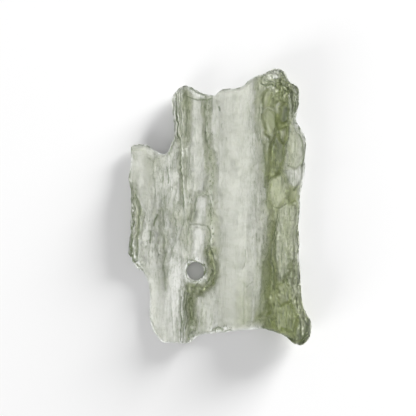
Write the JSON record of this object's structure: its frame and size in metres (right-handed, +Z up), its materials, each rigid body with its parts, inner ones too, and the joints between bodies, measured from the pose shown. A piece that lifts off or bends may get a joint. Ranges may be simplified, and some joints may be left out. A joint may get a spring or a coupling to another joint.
{
  "type": "moldavite stone",
  "caption": "Broken plate of natural green glass, fluted along its length by flow, with a bubble groove that ends in a small round hole.",
  "frame": {"origin": "on the surface the stone lies on, under the middle of its bounding box", "axes": "+Y along the flutes, from the hole's end to the end with the two peaks; +X across them, towards the thick crest; +Z up, out of the fluted front"},
  "size_m": [0.0274, 0.0416, 0.0049],
  "materials": {
    "moldavite_glass": "naturally etched, satin, see-through where thin"
  },
  "bodies": {
    "root": {"moldavite": "moldavite_glass"}
  },
  "joints": []
}
